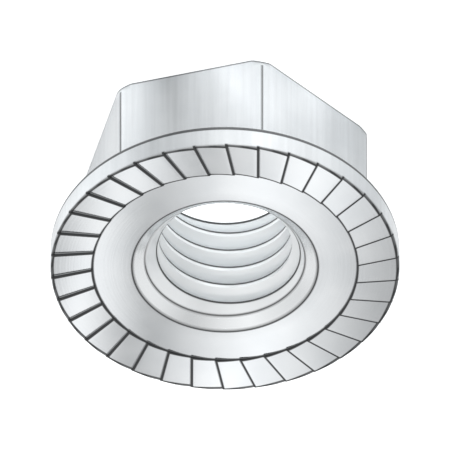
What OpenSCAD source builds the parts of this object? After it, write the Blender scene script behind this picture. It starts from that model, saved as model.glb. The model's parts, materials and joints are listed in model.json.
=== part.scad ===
// Hexagon nut with a flange and a serrated bearing face, all one solid.
// The thread's axis is Z. The nut stands on its hexagon end, and the serrated face looks up.

/* [Thread] */
// Nominal diameter of the thread
thread_d = 10; // [8:0.1:11]
// Distance from one turn of the thread to the next
thread_pitch = 1.5; // [0.75:0.05:1.75]
// Widest diameter of the countersink at each end of the thread
countersink_d = 11.6; // [11.2:0.1:13]
// Angle between opposite sides of a countersink
countersink_angle = 105; // [90:1:120]
// Angle between opposite sides of the steeper lead from a countersink to the thread
lead_angle = 80; // [60:1:88]

/* [Hexagon] */
// Height of the nut from the hexagon end to the crests of the serrations
nut_h = 9.65; // [8:0.05:14]
// Wrench size, which is the distance between opposite flats
hex_flats = 16; // [15:0.1:17]
// How far each upright corner is blunted, measured towards the axis
corner_blunting = 0.06; // [0.03:0.01:0.4]
// How far the end face is chamfered back from the upright corners, measured towards the axis
end_chamfer = 0.3; // [0.2:0.05:1.5]
// Slope of the end chamfer
end_chamfer_angle = 45; // [15:1:60]

/* [Flange] */
// Diameter of the flange
flange_d = 21.8; // [20.5:0.1:26]
// Thickness of the flange at its rim
rim_h = 1.9; // [1:0.05:2.5]
// Slope of the flange's back, from the rim up to the hexagon
back_slope = 20; // [10:1:30]
// Radius of the rim's edge on the hexagon side
rim_round = 0.4; // [0.1:0.05:0.8]
// Chamfer of the rim's edge on the serrated side
rim_chamfer = 0.12; // [0.05:0.01:0.3]

/* [Serrations] */
// Number of ratchet teeth round the bearing face
teeth = 34; // [24:1:44]
// Diameter of the smooth ring that the teeth surround
smooth_ring_d = 16.5; // [14:0.1:18]
// Height of a tooth's steep side at the rim
tooth_h = 0.15; // [0.1:0.01:0.5]
// Width of the flat crest of a tooth
crest_w = 0.15; // [0.05:0.01:0.4]
// How far from the axis the line of a crest passes, which sets the teeth askew
tooth_skew = 2.1; // [0.5:0.05:3]
// Direction of the first crest, anticlockwise from +X
first_crest_angle = 7.4; // [0:0.1:15]
// Drop from the bottoms of the teeth's inner ends to the smooth ring
smooth_ring_drop = 0.05; // [0.03:0.01:0.3]

/* [Hidden] */
$fn = 128;
// How far a cutting solid reaches past the surface that it cuts
over = 1;

// The bore is the thread's minor diameter: the 60 degree profile's height is 5/8 of a sharp one
sharp_height = thread_pitch * cos(30);
thread_r = thread_d / 2;
bore_r = thread_r - 5 / 8 * sharp_height;
countersink_r = countersink_d / 2;
countersink_depth = (countersink_r - thread_r) / tan(countersink_angle / 2);
lead_depth = (thread_r - bore_r) / tan(lead_angle / 2);

hex_sharp_r = hex_flats / 2 / cos(30);
corner_r = hex_sharp_r - corner_blunting;
end_face_r = corner_r - end_chamfer;

flange_r = flange_d / 2;
rim_back_z = nut_h - rim_h;
// The flange's back runs on inside the hexagon to this radius
back_inner_r = hex_flats / 2 - over;

// A tooth's ramp falls from its own crest to the foot of the next tooth's steep side
tooth_pitch_angle = 360 / teeth;
smooth_ring_r = smooth_ring_d / 2;
ramp_slope = atan(tooth_h / ramp_run(flange_r));
smooth_ring_z = nut_h - ramp_run(smooth_ring_r) * tan(ramp_slope) - smooth_ring_drop;

// Level distance across a ramp, square to its crest, to the point on the next crest line at radius r
function ramp_run(r) =
    sqrt(r * r - tooth_skew * tooth_skew) * sin(tooth_pitch_angle)
    + tooth_skew * (1 - cos(tooth_pitch_angle)) - crest_w;

// Hexagon with blunted upright corners and a chamfered end
module hexagon() {
    intersection() {
        cylinder(r = hex_sharp_r, h = rim_back_z + over, $fn = 6);
        cylinder(r = corner_r, h = nut_h);
        cylinder(
            r1 = end_face_r,
            r2 = end_face_r + nut_h / tan(end_chamfer_angle),
            h = nut_h
        );
    }
}

// Half section of the flange: a level face, an upright rim with a round back edge, and a sloping back
module flange_section() {
    round_x = flange_r - rim_round;
    round_z = rim_back_z + rim_round;
    tangent = [
        round_x + rim_round * sin(back_slope),
        round_z - rim_round * cos(back_slope)
    ];
    polygon([
        [0, nut_h],
        [flange_r - rim_chamfer, nut_h],
        [flange_r, nut_h - rim_chamfer],
        [flange_r, round_z],
        tangent,
        [back_inner_r, tangent[1] - (tangent[0] - back_inner_r) * tan(back_slope)],
        [0, tangent[1] - (tangent[0] - back_inner_r) * tan(back_slope)]
    ]);
    translate([round_x, round_z]) circle(r = rim_round);
}

module flange() {
    rotate_extrude() flange_section();
}

// Space of a countersink whose mouth is at z = 0 and looks up, with the lead to the thread below it
module countersink() {
    lead_end = -countersink_depth - lead_depth;
    rotate_extrude()
        polygon([
            [0, lead_end],
            [bore_r, lead_end],
            [thread_r, -countersink_depth],
            [countersink_r + over * tan(countersink_angle / 2), over],
            [0, over]
        ]);
}

// Bore of the thread with a countersink at each end, from the hexagon end to the smooth ring
module bore() {
    translate([0, 0, -over]) cylinder(r = bore_r, h = nut_h + 2 * over);
    mirror([0, 0, 1]) countersink();
    translate([0, 0, smooth_ring_z]) countersink();
}

// Clears the face inside the teeth down to the smooth ring
module smooth_ring_clearance() {
    translate([0, 0, smooth_ring_z]) cylinder(r = smooth_ring_r, h = nut_h);
}

// Space between two crests: a wedge along one crest line, cut off upright at the next one.
// It starts inside the smooth ring and over the crest's middle, so that no two of them meet.
module tooth_gap() {
    start = sqrt(smooth_ring_r * smooth_ring_r - tooth_skew * tooth_skew) - over;
    reach = flange_r + over;
    intersection() {
        translate([start, crest_w - tooth_skew, nut_h])
            rotate([-ramp_slope, 0, 0])
                translate([0, -crest_w / 2, 0])
                    cube([reach - start, reach, over]);
        rotate([0, 0, tooth_pitch_angle])
            translate([0, -reach - tooth_skew, nut_h - over])
                cube([reach, reach, 2 * over]);
    }
}

module tooth_gaps() {
    for (i = [0 : teeth - 1])
        rotate([0, 0, first_crest_angle + i * tooth_pitch_angle]) tooth_gap();
}

module flange_nut() {
    color([0.80, 0.82, 0.84])
        difference() {
            union() {
                hexagon();
                flange();
            }
            bore();
            smooth_ring_clearance();
            tooth_gaps();
        }
}

flange_nut();
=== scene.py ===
import json
from math import asin, atan, atan2, cos, pi, radians, sin, sqrt, tan

import bmesh
import bpy
import numpy as np
from mathutils import Matrix, Vector


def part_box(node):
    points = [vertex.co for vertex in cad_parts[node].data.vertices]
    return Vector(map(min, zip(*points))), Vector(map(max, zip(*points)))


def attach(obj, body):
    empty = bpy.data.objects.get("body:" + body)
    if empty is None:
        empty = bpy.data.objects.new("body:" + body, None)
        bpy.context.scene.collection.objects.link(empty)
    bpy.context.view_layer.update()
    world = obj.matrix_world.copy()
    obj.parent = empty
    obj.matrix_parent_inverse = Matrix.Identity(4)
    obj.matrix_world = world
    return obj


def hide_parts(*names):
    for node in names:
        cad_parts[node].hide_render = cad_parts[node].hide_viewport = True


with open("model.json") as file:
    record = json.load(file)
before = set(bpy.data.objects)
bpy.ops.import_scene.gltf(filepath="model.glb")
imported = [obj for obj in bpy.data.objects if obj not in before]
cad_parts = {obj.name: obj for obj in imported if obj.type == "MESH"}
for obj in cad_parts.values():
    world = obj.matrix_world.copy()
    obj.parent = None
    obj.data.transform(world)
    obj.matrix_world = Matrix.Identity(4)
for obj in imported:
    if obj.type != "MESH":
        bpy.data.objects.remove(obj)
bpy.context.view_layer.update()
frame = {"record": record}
NODE = "flange_nut"
# Lengths are in millimetres, and are multiplied by this where Blender takes metres
MM = 0.001

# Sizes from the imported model
MOUNTS = {mount["name"]: mount for mount in frame["record"]["mounts"]}
FLANGE_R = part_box(NODE)[1].x / MM
NUT_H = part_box(NODE)[1].z / MM
BORE_R = MOUNTS["thread"]["dims"]["r_mm"]
BORE_MID_Z = MOUNTS["thread"]["pos_m"][2] / MM
BORE_HALF = MOUNTS["thread"]["dims"]["length_mm"] / 2
HEX_APOTHEM = MOUNTS["wrench_flat_back"]["pos_m"][1] / MM

# Thread. Its rise is the height at which the middle of a groove crosses +X.
THREAD_R = 5.0
THREAD_PITCH = 1.5
THREAD_RISE = -0.257
FLANK_SLOPE = tan(radians(30))
# Countersink, and the steeper lead between it and the thread
COUNTERSINK_R = 5.8
LEAD_HALF_ANGLE = radians(40)
LEAD_DEPTH = (THREAD_R - BORE_R) / tan(LEAD_HALF_ANGLE)
COUNTERSINK_DEPTH = BORE_MID_Z - BORE_HALF - LEAD_DEPTH
CONE_SLOPE = atan2(COUNTERSINK_DEPTH, COUNTERSINK_R - THREAD_R)

# Tap, which cuts a little deeper than the thread's nominal radius
TAP_R = 5.03
TAP_ROOT_R = BORE_R - 0.25
TAP_CREST_HALF = THREAD_PITCH / 16
# Down to this depth below the tap's crest its flanks lean less, by this factor
TAP_KNEE_DEPTH = 0.08
TAP_KNEE_LEAN = 0.6
TAP_COLUMNS = 240
# Turns past each end of the nut, and how far beyond them the tap's ends come to a point
TAP_SPARE_TURNS = 2
TAP_END_CONE = 1.0

# Hexagon
CORNER_BLUNTING = 0.06
END_CHAMFER = 0.3
END_CHAMFER_SLOPE = radians(45)
SIDE_ANGLE = pi / 3
HALF_SIDE = pi / 6

# Flange
RIM_H = 1.9
BACK_SLOPE = radians(20)
RIM_ROUND = 0.4
RIM_ROUND_Z = NUT_H - RIM_H + RIM_ROUND
RIM_CHAMFER = 0.12
RIM_CHAMFER_LEAN = radians(45)

# Ratchet teeth
TEETH = 34
TOOTH_PITCH = 2 * pi / TEETH
SMOOTH_RING_R = 8.25
TOOTH_H = 0.15
CREST_W = 0.15
TOOTH_SKEW = 2.1
FIRST_CREST = radians(7.4)
SMOOTH_RING_DROP = 0.05

# Small edge breaks that formed and plated steel has
TOOTH_EDGE = 0.025
TOOTH_FOOT = 0.035
WALL_LEAN = 0.012
RIM_EDGE = 0.035
END_EDGE = 0.09
HOLE_EDGE = 0.10
BACK_FILLET = 0.30

# Painted shade, as darker lines in corners and along edges: half their widths, and the width over which
# they fade out
SHADE_FADE = 0.06
STEP_LINE = 0.05
RIM_LINE = 0.07
BACK_LINE = 0.14
HOLE_LINE = 0.04
LEAD_LINE = 0.02
CORNER_LINE = 0.03
END_LINE = 0.11
# Where the middles of some of them lie, and where some of them end
STEP_LINE_R = SMOOTH_RING_R + 0.03
BACK_LINE_Z = RIM_ROUND_Z - 0.09
BACK_LINE_END_R = FLANGE_R - 0.9 * RIM_ROUND
HOLE_LINE_R = COUNTERSINK_R + HOLE_EDGE / 4
LEAD_LINE_REACH = 0.2
CORNER_LINE_END = 0.62
CORNER_LINE_FADE = 0.08
# Painted shade from the foot of a tooth's steep side to its crest, by the distance from the crest line
TOOTH_LINE = ((-0.07, 0.0), (-TOOTH_FOOT, 0.5), (0.0, 0.9), (WALL_LEAN, 1.0), (0.13, 1.0), (0.17, 0.0))
# Painted shade's darkness on the hexagon's corners, and on the rim's back edge and the hexagon's end; the
# rest have 1
CORNER_DARKNESS = 0.95
EDGE_DARKNESS = 0.9
# Allowances for comparing the places of points, the last one for points on the hexagon's sides
TINY = 0.001
SMALL = 0.01
SIDE_SLACK = 0.03

# Columns of the mesh: each tooth and each side of the hexagon takes a whole number of them
COLUMNS_PER_TOOTH = 12
WALL_AND_CREST_COLUMNS = 5
COLUMNS = TEETH * COLUMNS_PER_TOOTH
CORNER_COLUMNS = 7

# Rows of the mesh: how many there are on a stretch, or where they lie
FACE_ROWS = 9
EDGE_POINTS = 4
BELOW_TEETH_Z = NUT_H - TOOTH_H - 3 * RIM_EDGE
RIM_MIDDLE_Z = RIM_ROUND_Z + 0.3
RIM_ROUND_POINTS = 7
BACK_ROWS = 3
FILLET_POINTS = 6
HEXAGON_HEIGHTS = (5.6, 4.2, 2.8, 1.6)
END_FACE_ROW_R = 7.4
SMOOTH_RING_ROW_R = 7.3
# From this radius inwards the columns are spread evenly
EVEN_R = 6.6
HOLE_EDGE_POINTS = 5
CONE_SHARES = (0.2, 0.5, 0.86, 0.94, 1.0)
LEAD_SHARES = (0.04, 0.1, 0.3, 0.5, 0.75, 1.0)
BORE_ROWS = 11

# Distances within which points merge, before and after the thread is cut
NUT_MERGE = 0.0005
TAP_MERGE = 0.00001
THREADED_MERGE = 0.0004
# Edges that turn by more than this are shaded as sharp
SHARP_ANGLE = radians(24)


# Geometry of the teeth

def ramp_run(r):
    """Level distance across a ramp, square to its crest, to the next crest line at radius r."""
    along = sqrt(r * r - TOOTH_SKEW * TOOTH_SKEW)
    return along * sin(TOOTH_PITCH) + TOOTH_SKEW * (1 - cos(TOOTH_PITCH)) - CREST_W


RAMP_SLOPE = atan(TOOTH_H / ramp_run(FLANGE_R))
SMOOTH_RING_Z = NUT_H - ramp_run(SMOOTH_RING_R) * tan(RAMP_SLOPE) - SMOOTH_RING_DROP


def line_angle(tooth, offset, r):
    """Angle at radius r of the line that runs beside a tooth's crest line at an offset from it."""
    return FIRST_CREST + tooth * TOOTH_PITCH + asin((offset - TOOTH_SKEW) / r)


def ramp_z(tooth, angle, r):
    """Height of a tooth's ramp at a point."""
    crest_direction = FIRST_CREST + tooth * TOOTH_PITCH
    run = r * sin(angle - crest_direction) + TOOTH_SKEW - CREST_W
    return NUT_H - tan(RAMP_SLOPE) * run


def tooth_point(tooth, column, r):
    """Angle and height of one of a tooth's columns at radius r, from the foot of its steep side."""
    if column == 0:
        angle = line_angle(tooth, -TOOTH_FOOT, r)
        return angle, ramp_z(tooth - 1, angle, r)
    if column == 1:
        angle = line_angle(tooth, 0, r)
        return angle, ramp_z(tooth - 1, angle, r) + TOOTH_FOOT
    if column == 2:
        return line_angle(tooth, WALL_LEAN, r), NUT_H - TOOTH_EDGE
    if column == 3:
        return line_angle(tooth, WALL_LEAN + TOOTH_EDGE, r), NUT_H
    if column == 4:
        return line_angle(tooth, CREST_W - TOOTH_EDGE, r), NUT_H
    first = line_angle(tooth, CREST_W + TOOTH_EDGE, r)
    last = line_angle(tooth + 1, -TOOTH_FOOT - SHADE_FADE, r)
    share = (column - WALL_AND_CREST_COLUMNS) / (COLUMNS_PER_TOOTH - WALL_AND_CREST_COLUMNS - 1)
    angle = first + share * (last - first)
    return angle, ramp_z(tooth, angle, r)


def tooth_row(r):
    """Angles and heights of the toothed face at radius r, all the way round."""
    points = [
        tooth_point(tooth, column, r)
        for tooth in range(TEETH)
        for column in range(COLUMNS_PER_TOOTH)
    ]
    return np.array(points).T


# Geometry of the hexagon, which has corners on +X and every 60 degrees from there

CORNER_ROUND = CORNER_BLUNTING / (1 / cos(HALF_SIDE) - 1)
CORNER_CENTRE = (HEX_APOTHEM - CORNER_ROUND) / cos(HALF_SIDE)
CORNER_R = CORNER_CENTRE + CORNER_ROUND
CORNER_SPAN = atan2(
    CORNER_ROUND * sin(HALF_SIDE), CORNER_CENTRE + CORNER_ROUND * cos(HALF_SIDE)
)
END_FACE_R = HEX_APOTHEM / cos(HALF_SIDE) - CORNER_BLUNTING - END_CHAMFER


def from_corner(angles):
    """Angles measured from the nearest corner."""
    return (angles + HALF_SIDE) % SIDE_ANGLE - HALF_SIDE


def hexagon_angles():
    """Angles of the hexagon's columns: a few round each corner, the rest evenly over the flats."""
    flat = COLUMNS // 6 - CORNER_COLUMNS
    step = (SIDE_ANGLE - 2 * CORNER_SPAN) / (flat + 1)
    angles = []
    for corner in range(6):
        at = corner * SIDE_ANGLE
        angles += [at + CORNER_SPAN * share for share in np.linspace(-1, 1, CORNER_COLUMNS)]
        angles += [at + CORNER_SPAN + step * (i + 1) for i in range(flat)]
    return np.array(angles)


def hexagon_radius(angles):
    """Radius of the hexagon, whose upright corners are rounded."""
    off = from_corner(angles)
    flat = HEX_APOTHEM / np.cos(HALF_SIDE - np.abs(off))
    reach = CORNER_ROUND**2 - (CORNER_CENTRE * np.sin(off)) ** 2
    round_part = CORNER_CENTRE * np.cos(off) + np.sqrt(np.maximum(reach, 0))
    return np.where(np.abs(off) < CORNER_SPAN, round_part, flat)


def whole_turns(angles, to):
    """Whole turns, as an angle, from one ring of angles to another."""
    return 2 * pi * round((angles[0] - to[0]) / (2 * pi))


def aligned(angles, to):
    """A ring of angles, started at the column with which it lies nearest to another ring."""
    rings = [np.unwrap(np.roll(angles, start)) for start in range(len(angles))]
    rings = [ring - whole_turns(ring, to) for ring in rings]
    return min(rings, key=lambda ring: np.abs(ring - to).max())


# Rows of the mesh, each as (angles, radii, heights)

def edge_rows(top, side, chamfer, rounding):
    """Section points round the edge between an upright and a level face, for many columns at once.

    top and side are the outward distances of the two faces, and chamfer is (normal angle, distance) of
    a slanting face that may cut the edge. The points run from the upright face to the level one.
    """
    lean, reach = chamfer
    c, s = cos(lean), sin(lean)
    top_in, side_in = top - rounding, side - rounding
    reach_in = reach - rounding
    cut = c * side_in + s * top_in > reach_in
    first = np.where(cut, (reach_in - s * top_in) / c, side_in)
    last = np.where(cut, (reach_in - c * side_in) / s, top_in)
    rows = []
    for turn in np.linspace(0, lean, EDGE_POINTS):
        rows.append((side_in + rounding * cos(turn), last + rounding * sin(turn)))
    for turn in np.linspace(lean, pi / 2, EDGE_POINTS):
        rows.append((first + rounding * cos(turn), top_in + rounding * sin(turn)))
    return rows


def toothed_face_rows():
    """From the smooth ring's upright edge out over the teeth to the rim, with its edge."""
    line_end = STEP_LINE_R + STEP_LINE
    outer = FLANGE_R - RIM_CHAMFER - RIM_LINE
    middle = np.linspace(line_end + SHADE_FADE, outer - SHADE_FADE, FACE_ROWS)
    rows = []
    for r in (SMOOTH_RING_R + TOOTH_EDGE, line_end, *middle, outer):
        angles, heights = tooth_row(r)
        rows.append((angles, np.full(COLUMNS, r), heights))
    angles, heights = tooth_row(FLANGE_R)
    side = np.full(COLUMNS, FLANGE_R)
    reach = cos(RIM_CHAMFER_LEAN) * FLANGE_R + sin(RIM_CHAMFER_LEAN) * (NUT_H - RIM_CHAMFER)
    edge = edge_rows(heights, side, (RIM_CHAMFER_LEAN, reach), RIM_EDGE)
    return rows + [(angles, r, z) for r, z in reversed(edge)]


def rim_rows(angles):
    """Down the rim and round its back edge."""
    line_end = BACK_LINE_Z + BACK_LINE
    heights = (BELOW_TEETH_Z, RIM_MIDDLE_Z, line_end + SHADE_FADE, line_end)
    rows = [(angles, FLANGE_R, z) for z in heights]
    for turn in np.linspace(0, BACK_SLOPE - pi / 2, RIM_ROUND_POINTS):
        r = FLANGE_R - RIM_ROUND + RIM_ROUND * cos(turn)
        rows.append((angles, r, RIM_ROUND_Z + RIM_ROUND * sin(turn)))
    return rows


def back_rows(rim_angles, hex_angles, start_r, start_z):
    """Along the flange's sloping back and round the fillet into the hexagon."""
    fillet_r = hexagon_radius(hex_angles) + BACK_FILLET
    fillet_z = start_z + ((fillet_r - start_r) * sin(BACK_SLOPE) - BACK_FILLET) / cos(BACK_SLOPE)
    back_r = fillet_r - BACK_FILLET * sin(BACK_SLOPE)
    back_z = fillet_z + BACK_FILLET * cos(BACK_SLOPE)
    rows = []
    for share in np.linspace(0, 1, BACK_ROWS + 2)[1:-1]:
        angles = rim_angles + (hex_angles - rim_angles) * share
        r = start_r + (back_r - start_r) * share
        rows.append((angles, r, start_z + (r - start_r) * tan(BACK_SLOPE)))
    rows.append((hex_angles, back_r, back_z))
    for turn in np.linspace(pi / 2 + BACK_SLOPE, pi, FILLET_POINTS)[1:]:
        r = fillet_r + BACK_FILLET * cos(turn)
        rows.append((hex_angles, r, fillet_z + BACK_FILLET * sin(turn)))
    return rows


def hexagon_rows(angles):
    """Down the hexagon's sides and round its chamfered end to the end face."""
    side = hexagon_radius(angles)
    heights = (*HEXAGON_HEIGHTS, CORNER_LINE_END, CORNER_LINE_END - CORNER_LINE_FADE)
    rows = [(angles, side, z) for z in heights]
    lean = pi / 2 - END_CHAMFER_SLOPE
    reach = cos(lean) * END_FACE_R
    edge = [(angles, r, -z) for r, z in edge_rows(0.0, side, (lean, reach), END_EDGE)]
    rows.append((angles, side, edge[0][2] + 2 * SHADE_FADE))
    return rows + edge


def hole_rows(angles, level, sign):
    """Round a countersink's edge, down its cone and down the lead.

    sign is 1 at the serrated face and -1 at the hexagon end.
    """
    centre_r = COUNTERSINK_R + HOLE_EDGE * (1 - cos(CONE_SLOPE)) / sin(CONE_SLOPE)
    centre_z = level - sign * HOLE_EDGE
    rows = []
    for turn in np.linspace(0, CONE_SLOPE, HOLE_EDGE_POINTS):
        r = centre_r - HOLE_EDGE * sin(turn)
        rows.append((angles, r, centre_z + sign * HOLE_EDGE * cos(turn)))
    for share in CONE_SHARES:
        r = COUNTERSINK_R + (THREAD_R - COUNTERSINK_R) * share
        rows.append((angles, r, level - sign * COUNTERSINK_DEPTH * share))
    for share in LEAD_SHARES:
        r = THREAD_R + (BORE_R - THREAD_R) * share
        rows.append((angles, r, level - sign * (COUNTERSINK_DEPTH + LEAD_DEPTH * share)))
    return rows


def bore_rows(angles):
    """Up the plain bore between the two leads."""
    return [
        (angles, BORE_R, BORE_MID_Z - BORE_HALF + 2 * BORE_HALF * share)
        for share in np.linspace(0, 1, BORE_ROWS + 2)[1:-1]
    ]


def smooth_ring_rows(even):
    """Out over the sunken smooth ring and up the step at which the teeth end."""
    angles, tops = tooth_row(SMOOTH_RING_R)
    return [
        (even, COUNTERSINK_R + 2 * SHADE_FADE, SMOOTH_RING_Z),
        (even, EVEN_R, SMOOTH_RING_Z),
        ((angles + even) / 2, SMOOTH_RING_ROW_R, SMOOTH_RING_Z),
        (angles, SMOOTH_RING_R - TOOTH_FOOT - SHADE_FADE, SMOOTH_RING_Z),
        (angles, SMOOTH_RING_R - TOOTH_FOOT, SMOOTH_RING_Z),
        (angles, SMOOTH_RING_R, SMOOTH_RING_Z + TOOTH_FOOT),
        (angles, SMOOTH_RING_R, tops - TOOTH_EDGE),
    ]


def nut_rows():
    """All rows of the nut with a plain bore, in one closed round."""
    rows = toothed_face_rows()
    rim_angles = rows[-1][0]
    rows += rim_rows(rim_angles)
    hex_angles = aligned(hexagon_angles(), rim_angles)
    rows += back_rows(rim_angles, hex_angles, *rows[-1][1:])
    rows += hexagon_rows(hex_angles)
    first = hex_angles.mean() - pi * (COLUMNS - 1) / COLUMNS
    even = first + np.arange(COLUMNS) * 2 * pi / COLUMNS
    rows.append(((hex_angles + even) / 2, END_FACE_ROW_R, 0.0))
    rows.append((even, EVEN_R, 0.0))
    rows.append((even, COUNTERSINK_R + 2 * SHADE_FADE, 0.0))
    rows += hole_rows(even, 0.0, -1)
    rows += bore_rows(even)
    rows += hole_rows(even, SMOOTH_RING_Z, 1)[::-1]
    return rows + smooth_ring_rows(even)


def ring_mesh(rows):
    """Vertices and faces of rows that close on themselves both ways."""
    points = []
    for angles, r, z in rows:
        r = np.broadcast_to(r, angles.shape)
        z = np.broadcast_to(z, angles.shape)
        points.append(np.stack([r * np.cos(angles), r * np.sin(angles), z], axis=1))
    faces = []
    for row in range(len(rows)):
        here = row * COLUMNS
        following = (row + 1) % len(rows) * COLUMNS
        for column in range(COLUMNS):
            beside = (column + 1) % COLUMNS
            faces.append((here + column, following + column, following + beside, here + beside))
    return np.concatenate(points), faces


# Thread

def tap_section():
    """Radius and rise of a tap's points over one turn of a 60 degree thread, root to root."""
    root_half = TAP_CREST_HALF + (THREAD_R - TAP_ROOT_R) * FLANK_SLOPE
    knee_r = TAP_R - TAP_KNEE_DEPTH
    knee_half = TAP_CREST_HALF + TAP_KNEE_DEPTH * FLANK_SLOPE * TAP_KNEE_LEAN
    middle_r = (knee_r + TAP_ROOT_R) / 2
    middle_half = (knee_half + root_half) / 2
    left = [
        (TAP_ROOT_R, -root_half),
        (middle_r, -middle_half),
        (knee_r, -knee_half),
        (TAP_R, -TAP_CREST_HALF),
    ]
    right = [(r, -z) for r, z in reversed(left)]
    return left + right


def tap_point(section, start, column, level):
    """A point of the tap, which climbs by a pitch over all its columns, and over each section."""
    angle = 2 * pi * column / TAP_COLUMNS
    r, z = section[level % len(section)]
    z += start + THREAD_PITCH * (level // len(section) + column / TAP_COLUMNS)
    return r * cos(angle), r * sin(angle), z


def tap_mesh():
    """A closed right-hand screw that cuts the thread, from below the nut to above it."""
    section = tap_section()
    step = len(section)
    turns = int(NUT_H / THREAD_PITCH) + 2 * TAP_SPARE_TURNS
    start = THREAD_RISE - TAP_SPARE_TURNS * THREAD_PITCH
    levels = turns * step
    height = levels + 1 + step
    points = [
        tap_point(section, start, column, level)
        for column in range(TAP_COLUMNS)
        for level in range(height)
    ]

    def at(column, level):
        """Number of a point. The column after the last is the first one, a turn higher."""
        if column == TAP_COLUMNS:
            return level + step
        return column * height + level

    faces = []
    for column in range(TAP_COLUMNS):
        for level in range(levels):
            corners = [(column, level), (column + 1, level), (column + 1, level + 1), (column, level + 1)]
            faces.append(tuple(at(*corner) for corner in corners))
    bottom = [at(c, 0) for c in range(TAP_COLUMNS)] + [at(0, k) for k in range(step, 0, -1)]
    top = [at(c, levels) for c in range(TAP_COLUMNS)] + [at(0, levels + k) for k in range(step, 0, -1)]
    lowest = start - TAP_END_CONE
    highest = start + (turns + 1) * THREAD_PITCH + TAP_END_CONE
    for loop, z, flip in ((bottom, lowest, True), (top, highest, False)):
        points.append((0, 0, z))
        centre = len(points) - 1
        for a, b in zip(loop, loop[1:] + loop[:1]):
            faces.append((b, a, centre) if flip else (a, b, centre))
    return points, faces


# Painted shade, as darker lines in corners and along edges

def near(distance, core):
    """1 within core of a line, falling to 0 over the fading width beyond it."""
    return np.clip(1 - (np.abs(distance) - core) / SHADE_FADE, 0, 1)


def tooth_shade(r, angle, z):
    """Painted shade along the foot and the steep side of each tooth, and along the step that the teeth
    end at.
    """
    line = FIRST_CREST + np.arcsin(-TOOTH_SKEW / np.maximum(r, BORE_R))
    tooth = np.round((angle - line) / TOOTH_PITCH)
    offset = r * np.sin(angle - FIRST_CREST - tooth * TOOTH_PITCH) + TOOTH_SKEW
    side = np.interp(offset, *zip(*TOOTH_LINE))
    side[(r < SMOOTH_RING_R - TINY) | (z < NUT_H - TOOTH_H - RIM_EDGE)] = 0
    step = near(r - STEP_LINE_R, STEP_LINE)
    step[z < SMOOTH_RING_Z - TINY] = 0
    return np.maximum(side, step)


def rim_shade(r, z):
    """Painted shade along the rim's two edges."""
    top = near(r - FLANGE_R + RIM_CHAMFER, RIM_LINE)
    top[z < BELOW_TEETH_Z + TINY] = 0
    back = EDGE_DARKNESS * near(z - BACK_LINE_Z, BACK_LINE)
    back[r < BACK_LINE_END_R] = 0
    return np.maximum(top, back)


def hole_shade(r, z):
    """Painted shade along the edge of each countersink, and where its cone meets the steeper lead."""
    edge = near(r - HOLE_LINE_R, HOLE_LINE)
    edge[(z > HOLE_EDGE) & (z < SMOOTH_RING_Z - HOLE_EDGE)] = 0
    past_bore = np.abs(z - BORE_MID_Z) - BORE_HALF
    lead = np.where(past_bore > LEAD_DEPTH - LEAD_LINE_REACH, near(r - THREAD_R, LEAD_LINE), 0)
    return np.maximum(edge, lead)


def hexagon_shade(r, angle, z):
    """Painted shade along the hexagon's upright corners and round its end."""
    corner = CORNER_DARKNESS * near(r * from_corner(angle), CORNER_LINE)
    corner[(r < CORNER_R - END_CHAMFER) | (r > CORNER_R + SMALL)] = 0
    corner[(z > NUT_H - RIM_H) | (z < CORNER_LINE_END - TINY)] = 0
    end = EDGE_DARKNESS * near(z - np.maximum(r - END_FACE_R, 0), END_LINE)
    end[r < hexagon_radius(angle) - SIDE_SLACK] = 0
    return np.maximum(corner, end)


def shade(points):
    """How much painted shade darkens each point, from 0 to 1."""
    x, y, z = points.T
    r = np.hypot(x, y)
    angle = np.arctan2(y, x)
    parts = [tooth_shade(r, angle, z), rim_shade(r, z), hole_shade(r, z), hexagon_shade(r, angle, z)]
    return np.max(parts, axis=0)


def store_shade(mesh):
    """Keeps the painted shade of a mesh that is in millimetres as an attribute of its points."""
    points = np.empty(len(mesh.vertices) * 3)
    mesh.vertices.foreach_get("co", points)
    attribute = mesh.attributes.new("shade", "FLOAT", "POINT")
    attribute.data.foreach_set("value", shade(points.reshape(-1, 3)))


# Nut

def mesh_object(name, points, faces):
    """A new object with a mesh of its own."""
    mesh = bpy.data.meshes.new(name)
    mesh.from_pydata([tuple(p) for p in points], [], faces)
    obj = bpy.data.objects.new(name, mesh)
    bpy.context.collection.objects.link(obj)
    return obj


def clean(obj, distance):
    """Merges points that coincide, drops loose ones and turns all faces outwards."""
    work = bmesh.new()
    work.from_mesh(obj.data)
    bmesh.ops.remove_doubles(work, verts=work.verts, dist=distance)
    bmesh.ops.dissolve_degenerate(work, edges=work.edges, dist=distance)
    loose = [v for v in work.verts if not v.link_faces]
    bmesh.ops.delete(work, geom=loose, context="VERTS")
    bmesh.ops.recalc_face_normals(work, faces=work.faces)
    work.to_mesh(obj.data)
    work.free()


def cut_thread(nut):
    """Cuts the thread into the plain bore, for good."""
    tap = mesh_object("tap", *tap_mesh())
    clean(tap, TAP_MERGE)
    cut = nut.modifiers.new("thread", "BOOLEAN")
    cut.operation = "DIFFERENCE"
    cut.solver = "EXACT"
    cut.object = tap
    bpy.context.view_layer.update()
    threaded = bpy.data.meshes.new_from_object(
        nut.evaluated_get(bpy.context.evaluated_depsgraph_get())
    )
    nut.modifiers.clear()
    nut.data = threaded
    bpy.data.objects.remove(tap)
    clean(nut, THREADED_MERGE)


def make_nut():
    """The threaded nut, in metres, with the painted shade of its lines."""
    nut = mesh_object("nut_body", *ring_mesh(nut_rows()))
    clean(nut, NUT_MERGE)
    cut_thread(nut)
    # Painted shade: darker lines along edges and in corners, kept on the points
    store_shade(nut.data)
    nut.data.transform(Matrix.Scale(MM, 4))
    nut.data.polygons.foreach_set("use_smooth", [True] * len(nut.data.polygons))
    nut.data.set_sharp_from_angle(angle=SHARP_ANGLE)
    return nut


# Camera's side

CAMERA_AZIMUTH = radians(44.65)
CAMERA_ELEVATION = radians(44.53)
CAMERA_DISTANCE = 200 * MM
NEAR_CLIP = 1 * MM
VIEW_WIDTH = 28.08 * MM
AIM_BELOW_FACE = 3.8 * MM

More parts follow.
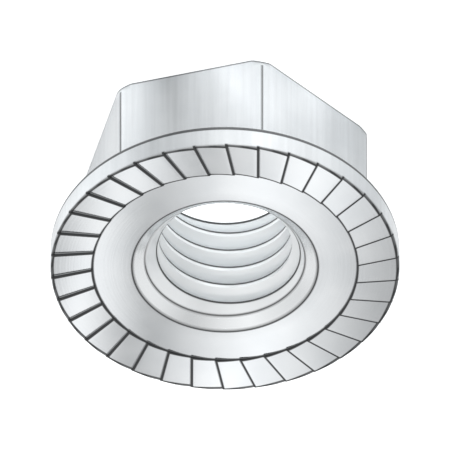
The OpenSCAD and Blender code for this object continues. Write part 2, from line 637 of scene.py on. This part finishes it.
# Level directions: to the camera's right before it is rolled, and from the nut to the camera's side
RIGHT = Vector((cos(CAMERA_AZIMUTH), sin(CAMERA_AZIMUTH), 0))
FRONT = Vector((sin(CAMERA_AZIMUTH), -cos(CAMERA_AZIMUTH), 0))


def toward(elevation):
    """Direction seen from the nut: 0 degrees is level on the camera's side, 180 level behind the nut."""
    return (FRONT * cos(elevation) + Vector((0, 0, 1)) * sin(elevation)).normalized()


# Looks. A list of stops says what a value from 0 to 1 turns into: (value, grey or colour).

# How upright a face is, by how far it looks up or down: 1 on walls, 0 on level faces
UPRIGHT = [(0.25, 1.0), (0.55, 0.0)]
# Scale per metre and detail of each noise
CLOUD = (230.0, 5.0)
GRAIN = (5200.0, 3.0)
WIDE_STREAKS = (420.0, 1.0)
FINE_STREAKS = (3400.0, 4.0)
TURNING = (7000.0, 3.0)
# Streaks run down the walls because the noise is squeezed along Z
STREAK_SQUEEZE = (1, 1, 0.03)
CLOUD_TINTS = [(0.3, (0.70, 0.725, 0.745)), (0.7, (0.80, 0.82, 0.835))]
CLOUD_ROUGHNESS = [(0.3, 0.15), (0.7, 0.21)]
WIDE_STREAK_TINTS = [(0.35, 0.9), (0.65, 1.0)]
FINE_STREAK_TINTS = [(0.3, 0.92), (0.7, 1.0)]
GRAIN_SHARE = 0.45
BUMP_STRENGTH = 0.12
BUMP_HEIGHT = 0.02 * MM

# Painted light: the hole is paler, to lighten the shade in its thread, and less metallic, by how far in a
# point is: 0 at the hole's edge, 1 at the thread
HOLE_MARGIN = 0.05
HOLE_PAINTED_LIGHT = (0.90, 0.92, 0.93, 1)
HOLE_PAINTED_LIGHT_SHARE = [(0.0, 0.0), (0.06, 0.75), (0.85, 0.75), (0.95, 1.0)]
HOLE_METALLIC = [(0.0, 1.0), (0.06, 0.8), (0.85, 0.8), (0.95, 0.3)]

# What a line's painted shade does to the colour and to the roughness
PAINTED_SHADE_DARKENING = [(0.0, 1.0), (0.5, 0.6), (1.0, 0.09)]
ROUGHENED = [(0.0, 0.0), (1.0, 0.25)]

# The painted shade line along the thread's crest: its darkness over one pitch, and the faces that have
# it, by how far they look up or down, which are the crests and the leads but not the flanks
CREST_LINE = [(0.35, 0.0), (0.37, 1.0), (0.445, 1.0), (0.49, 0.0)]
CREST_FACES = [(0.70, 1.0), (0.76, 0.0)]
# The painted shade line where the thread runs out ends between these two heights above the lead
RUN_OUT_FULL = 0.16
RUN_OUT_END = 0.24
# Faces that look down more than this don't have it: the lead itself and the undersides of the turns
LOOKS_DOWN = -0.3

# Floor
FLOOR_HALF = 3000 * MM
FLOOR_GAP = 0.01 * MM
FLOOR_COLOUR = (0.86, 0.87, 0.875, 1)
FLOOR_ROUGHNESS = 0.7
FLOOR_SPECULAR = 0.2
FLOOR_GLOW = 1.25
# Radius that counts as 1 in the next two lists: how the glow falls off round the lamp under the hole,
# and where the pattern near the nut turns into the farther one
FLOOR_REACH = 20 * MM
FLOOR_LAMP = [(0.0, 1.0), (0.3, 1.0), (0.35, 0.54), (1.0, 0.54)]
FARTHER_SHARE = [(0.78, 0.0), (0.88, 1.0)]
# How bright gloss sees the floor, by degrees anticlockwise round the nut from the camera's side:
# near the nut, where the hexagon's flats mirror it, and farther out, where the rim does
NEAR_PATTERN = [
    (-180, 0.6), (-110, 0.7), (-75, 0.66), (-61, 0.78), (-50, 0.92), (-42, 1.0), (2, 1.0), (8, 0.82),
    (17, 0.63), (26, 0.52), (38, 0.86), (45, 1.0), (54, 0.72), (100, 0.72), (180, 0.6),
]
FARTHER_PATTERN = [
    (-180, 0.6), (-81, 0.67), (-53, 0.79), (-18, 0.98), (7, 0.76), (34, 0.54), (60, 0.9), (80, 0.97),
    (180, 0.6),
]

# Studio: its brightness by the cosine of the angle from the middle of the overhead light, its soft
# stripes from the side opposite RIGHT to RIGHT's side, and how they come in with height
OVERHEAD_LIGHT = radians(115)
OVERHEAD = [(0.0, 0.85), (cos(radians(75)), 0.85), (cos(radians(55)), 1.0), (1.0, 1.0)]
STRIPES = [(0.0, 0.8), (0.09, 0.85), (0.26, 0.5), (0.47, 0.8), (0.67, 1.0), (0.77, 0.85), (0.91, 0.7)]
STRIPES_RAISED = [(0.25, 0.0), (0.5, 1.0)]
LOW_SKY = (0.85, 0.85, 0.85, 1)
BACKDROP = (0.91, 0.91, 0.91, 1)
STUDIO_STRENGTH = 1.1

# Key light
KEY_ELEVATION = radians(50)
KEY_STRENGTH = 0.6
KEY_WIDTH = radians(12)

# Reflector card above and behind the nut
CARD_ELEVATION = pi - CAMERA_ELEVATION
CARD_DISTANCE = 22 * MM
CARD_HALF_WIDTH = 16 * MM
CARD_HALF_HEIGHT = 14 * MM
CARD_STRENGTH = 1.38
CARD_STRIPES = [
    (0.0, 0.35), (0.19, 0.40), (0.27, 0.62), (0.434, 1.0), (0.647, 0.38), (0.76, 1.0), (0.83, 0.48),
    (1.0, 0.42),
]


# Materials

class Shader:
    """Small helper that adds nodes to one node tree and links them."""

    def __init__(self, tree):
        self.tree = tree

    def node(self, kind, inputs=None, **settings):
        """A new node, whose inputs are linked to sockets or set to values."""
        made = self.tree.nodes.new(kind)
        for name, value in settings.items():
            setattr(made, name, value)
        for name, value in (inputs or {}).items():
            self.feed(value, made.inputs[name])
        return made

    def feed(self, value, socket):
        """Links a socket's value, or sets a plain one."""
        if isinstance(value, bpy.types.NodeSocket):
            self.tree.links.new(value, socket)
        else:
            socket.default_value = value

    def ramp(self, factor, stops):
        """What the stops turn a value into, blended between them."""
        made = self.node("ShaderNodeValToRGB", {"Fac": factor})
        elements = made.color_ramp.elements
        while len(elements) < len(stops):
            elements.new(0.5)
        for element, (position, value) in zip(elements, stops):
            element.position = position
            colour = value if isinstance(value, tuple) else (value, value, value)
            element.color = (*colour, 1)
        return made.outputs["Color"]

    def part(self, vector, axis):
        """One component of a vector."""
        return self.node("ShaderNodeSeparateXYZ", {"Vector": vector}).outputs[axis]

    def math(self, operation, *values):
        """A number worked out from others."""
        inputs = dict(enumerate(values))
        return self.node("ShaderNodeMath", inputs, operation=operation).outputs["Value"]

    def scaled(self, vector, scale):
        """A vector scaled along each axis."""
        return self.node("ShaderNodeMapping", {"Vector": vector, "Scale": scale}).outputs["Vector"]

    def length(self, vector):
        """The length of a vector."""
        return self.node("ShaderNodeVectorMath", {0: vector}, operation="LENGTH").outputs["Value"]

    def dot(self, vector, direction):
        """How far a vector points along a direction."""
        inputs = {0: vector, 1: direction}
        return self.node("ShaderNodeVectorMath", inputs, operation="DOT_PRODUCT").outputs["Value"]

    def share(self, value, start, end):
        """0 at the start and 1 at the end, also where the start is the greater of the two."""
        inputs = {"Value": value, "From Min": start, "From Max": end}
        return self.node("ShaderNodeMapRange", inputs).outputs["Result"]

    def turn(self, place):
        """Share of a turn round Z at which a place lies, with 0.5 on +X."""
        made = self.node("ShaderNodeTexGradient", {"Vector": place}, gradient_type="RADIAL")
        return made.outputs["Fac"]

    def noise(self, vector, scale, detail):
        """Noise in space."""
        made = self.node("ShaderNodeTexNoise", {"Vector": vector, "Scale": scale, "Detail": detail})
        return made.outputs["Fac"]

    def noise_along(self, value, scale, detail):
        """Noise that changes with one value only."""
        inputs = {"W": value, "Scale": scale, "Detail": detail}
        return self.node("ShaderNodeTexNoise", inputs, noise_dimensions="1D").outputs["Fac"]

    def mix(self, blend, share, first, second):
        """Two colours or values mixed, the second over the first."""
        made = self.node("ShaderNodeMix", data_type="RGBA", blend_type=blend)
        # The node's sockets for colours share their names with others, so they go by number
        for number, value in ((0, share), (6, first), (7, second)):
            self.feed(value, made.inputs[number])
        return made.outputs[2]


def principled(name):
    """A new material, the helper for its nodes, and its main shader."""
    material = bpy.data.materials.new(name)
    material.use_nodes = True
    return material, Shader(material.node_tree), material.node_tree.nodes["Principled BSDF"]


def crest_line(shader, place, radius, facing_up):
    """Painted shade: 1 along the lower edge of the thread's crest, a helix that runs on over the leads.
    """
    rise = shader.math("MULTIPLY_ADD", radius, FLANK_SLOPE, shader.part(place, "Z"))
    rise = shader.math("DIVIDE", rise, THREAD_PITCH * MM)
    start = 0.5 - (THREAD_RISE + BORE_R * FLANK_SLOPE) / THREAD_PITCH
    share = shader.math("SUBTRACT", shader.math("ADD", rise, start), shader.turn(place))
    line = shader.ramp(shader.math("FRACT", share), CREST_LINE)
    inside = shader.math("LESS_THAN", radius, (THREAD_R - SMALL) * MM)
    on_crest = shader.ramp(facing_up, CREST_FACES)
    return shader.math("MULTIPLY", line, shader.math("MULTIPLY", inside, on_crest))


def run_out_line(shader, place, radius, normal_z):
    """Painted shade: 1 where the thread's crests and upper sides run out in the lead at the hexagon end.
    """
    slope = (BORE_R - THREAD_R) / LEAD_DEPTH
    above = shader.math("MULTIPLY_ADD", radius, -1 / slope, shader.part(place, "Z"))
    lead = BORE_MID_Z - BORE_HALF - BORE_R / slope
    line = shader.share(above, (lead + RUN_OUT_END) * MM, (lead + RUN_OUT_FULL) * MM)
    inside = shader.math("LESS_THAN", radius, (THREAD_R - SMALL) * MM)
    looks_up = shader.math("GREATER_THAN", normal_z, LOOKS_DOWN)
    return shader.math("MULTIPLY", line, shader.math("MULTIPLY", inside, looks_up))


def painted_shade_lines(shader, place, radius, normal_z, facing_up):
    """How dark the painted shade lines are: the mesh's own, and those along the thread."""
    dark = shader.node("ShaderNodeAttribute", attribute_name="shade").outputs["Fac"]
    dark = shader.math("MAXIMUM", dark, crest_line(shader, place, radius, facing_up))
    return shader.math("MAXIMUM", dark, run_out_line(shader, place, radius, normal_z))


def zinc_material():
    """Bright zinc: clouded grey, with die marks down the walls and turning marks on level faces, painted
    shade along its lines and painted light that makes the hole paler.
    """
    material, shader, bsdf = principled("zinc_plate")
    coordinates = shader.node("ShaderNodeTexCoord").outputs
    place = coordinates["Object"]
    normal_z = shader.part(coordinates["Normal"], "Z")
    facing_up = shader.math("ABSOLUTE", normal_z)
    upright = shader.ramp(facing_up, UPRIGHT)
    radius = shader.length(shader.scaled(place, (1, 1, 0)))
    in_hole = shader.share(radius, (COUNTERSINK_R + HOLE_MARGIN) * MM, (THREAD_R - HOLE_MARGIN) * MM)
    # Painted shade of all the lines, from the mesh and along the thread
    dark = painted_shade_lines(shader, place, radius, normal_z, facing_up)

    squeezed = shader.scaled(place, STREAK_SQUEEZE)
    cloud = shader.noise(place, *CLOUD)
    fine_streaks = shader.noise(squeezed, *FINE_STREAKS)
    wide_marks = shader.ramp(shader.noise(squeezed, *WIDE_STREAKS), WIDE_STREAK_TINTS)
    marks = shader.mix("MULTIPLY", 1.0, wide_marks, shader.ramp(fine_streaks, FINE_STREAK_TINTS))
    tint = shader.mix("MULTIPLY", upright, shader.ramp(cloud, CLOUD_TINTS), marks)
    # Painted light: the hole's colour turns paler towards the thread
    tint = shader.mix("MIX", shader.ramp(in_hole, HOLE_PAINTED_LIGHT_SHARE), tint, HOLE_PAINTED_LIGHT)
    # Painted shade: the lines darken the colour
    tint = shader.mix("MULTIPLY", 1.0, tint, shader.ramp(dark, PAINTED_SHADE_DARKENING))
    shader.feed(tint, bsdf.inputs["Base Color"])

    shader.feed(shader.ramp(in_hole, HOLE_METALLIC), bsdf.inputs["Metallic"])
    rough = shader.mix("ADD", 1.0, shader.ramp(cloud, CLOUD_ROUGHNESS), shader.ramp(dark, ROUGHENED))
    shader.feed(rough, bsdf.inputs["Roughness"])

    turned = shader.noise_along(radius, *TURNING)
    lines = shader.mix("MIX", upright, turned, fine_streaks)
    height = shader.mix("MIX", GRAIN_SHARE, lines, shader.noise(place, *GRAIN))
    inputs = {"Height": height, "Strength": BUMP_STRENGTH, "Distance": BUMP_HEIGHT}
    shader.feed(shader.node("ShaderNodeBump", inputs).outputs["Normal"], bsdf.inputs["Normal"])
    return material


def floor_pattern(shader, place, reach):
    """How bright gloss sees the floor, as if strips of grey card lay round the nut."""
    rotation = (0, 0, pi / 2 - CAMERA_AZIMUTH)
    turned = shader.node("ShaderNodeMapping", {"Vector": place, "Rotation": rotation})
    around = shader.turn(turned.outputs["Vector"])
    near_nut, farther = (
        shader.ramp(around, [(0.5 + degrees / 360, value) for degrees, value in pattern])
        for pattern in (NEAR_PATTERN, FARTHER_PATTERN)
    )
    return shader.mix("MIX", shader.ramp(reach, FARTHER_SHARE), near_nut, farther)


def floor_material():
    """A pale table that glows faintly, with a lamp under the nut's hole."""
    material, shader, bsdf = principled("floor")
    bsdf.inputs["Roughness"].default_value = FLOOR_ROUGHNESS
    bsdf.inputs["Specular IOR Level"].default_value = FLOOR_SPECULAR
    place = shader.node("ShaderNodeTexCoord").outputs["Object"]
    reach = shader.share(shader.length(place), 0.0, FLOOR_REACH)
    glossy = shader.node("ShaderNodeLightPath").outputs["Is Glossy Ray"]
    # Gloss alone sees the floor patterned in grey strips: painted reflections, which band the nut's flats
    # and rim
    colour = shader.mix("MULTIPLY", glossy, FLOOR_COLOUR, floor_pattern(shader, place, reach))
    shader.feed(colour, bsdf.inputs["Base Color"])
    shader.feed(colour, bsdf.inputs["Emission Color"])
    glow = shader.math("MULTIPLY", shader.ramp(reach, FLOOR_LAMP), FLOOR_GLOW)
    shader.feed(glow, bsdf.inputs["Emission Strength"])
    return material


def card_material():
    """Gives light alone, shaded in stripes from one side of the card to the other."""
    material = bpy.data.materials.new("back_card")
    material.use_nodes = True
    material.node_tree.nodes.clear()
    shader = Shader(material.node_tree)
    place = shader.node("ShaderNodeTexCoord").outputs["Object"]
    across = shader.share(shader.part(place, "X"), -CARD_HALF_WIDTH, CARD_HALF_WIDTH)
    inputs = {"Color": shader.ramp(across, CARD_STRIPES), "Strength": CARD_STRENGTH}
    emission = shader.node("ShaderNodeEmission", inputs)
    shader.node("ShaderNodeOutputMaterial", {"Surface": emission.outputs["Emission"]})
    return material


# Stage

def rectangle(name, half_width, half_height):
    """A flat rectangle round the origin that faces up."""
    x, y = half_width, half_height
    return mesh_object(name, [(-x, -y, 0), (x, -y, 0), (x, y, 0), (-x, y, 0)], [(0, 1, 2, 3)])


def make_camera():
    """A view without perspective, rolled by half a turn, so that the picture matches the drawing."""
    camera = bpy.data.objects.new("camera", bpy.data.cameras.new("camera"))
    bpy.context.collection.objects.link(camera)
    back = toward(CAMERA_ELEVATION)
    up = back.cross(RIGHT)
    turned = Matrix((-RIGHT, -up, back)).transposed()
    aim = Vector((0, 0, NUT_H * MM - AIM_BELOW_FACE))
    camera.matrix_world = Matrix.Translation(aim + back * CAMERA_DISTANCE) @ turned.to_4x4()
    camera.data.type = "ORTHO"
    camera.data.ortho_scale = VIEW_WIDTH
    camera.data.clip_start = NEAR_CLIP
    bpy.context.scene.camera = camera


def make_floor():
    """A table just below the nut."""
    floor = rectangle("floor", FLOOR_HALF, FLOOR_HALF)
    floor.location.z = -FLOOR_GAP
    floor.data.materials.append(floor_material())


def make_world():
    """A pale studio with one very large soft light overhead, tilted away behind the nut."""
    world = bpy.data.worlds.new("studio")
    bpy.context.scene.world = world
    world.use_nodes = True
    shader = Shader(world.node_tree)
    background = world.node_tree.nodes["Background"]
    direction = shader.node("ShaderNodeTexCoord").outputs["Generated"]
    sky = shader.ramp(shader.dot(direction, toward(OVERHEAD_LIGHT)), OVERHEAD)
    sideways = shader.math("MULTIPLY_ADD", shader.dot(direction, RIGHT), 0.5, 0.5)
    raised = shader.ramp(shader.part(direction, "Z"), STRIPES_RAISED)
    stripes = shader.mix("MIX", raised, LOW_SKY, shader.ramp(sideways, STRIPES))
    sky = shader.mix("MULTIPLY", 1.0, sky, stripes)
    seen = shader.node("ShaderNodeLightPath").outputs["Is Camera Ray"]
    shader.feed(shader.mix("MIX", seen, sky, BACKDROP), background.inputs["Color"])
    background.inputs["Strength"].default_value = STUDIO_STRENGTH


def make_key_light():
    """A soft light that gloss doesn't see: bright metal mirrors the studio and the floor instead."""
    light = bpy.data.objects.new("key_light", bpy.data.lights.new("key_light", "SUN"))
    bpy.context.collection.objects.link(light)
    light.matrix_world = toward(KEY_ELEVATION).to_track_quat("Z", "Y").to_matrix().to_4x4()
    light.data.energy = KEY_STRENGTH
    light.data.angle = KEY_WIDTH
    light.visible_glossy = False


def make_back_card():
    """A reflector card that only gloss sees, square to its direction from the nut."""
    card = rectangle("back_card", CARD_HALF_WIDTH, CARD_HALF_HEIGHT)
    direction = toward(CARD_ELEVATION)
    across = RIGHT - direction * RIGHT.dot(direction)
    across.normalize()
    basis = Matrix((across, direction.cross(across), direction)).transposed()
    middle = Vector((0, 0, NUT_H * MM))
    card.matrix_world = Matrix.Translation(middle + direction * CARD_DISTANCE) @ basis.to_4x4()
    card.data.materials.append(card_material())
    for ray in ("camera", "diffuse", "shadow", "transmission", "volume_scatter"):
        setattr(card, "visible_" + ray, False)


nut = make_nut()
nut.data.materials.clear()
nut.data.materials.append(zinc_material())
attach(nut, "root")
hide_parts(NODE)

make_camera()
make_floor()
make_world()
make_key_light()
make_back_card()
bpy.context.scene.view_settings.view_transform = "Standard"
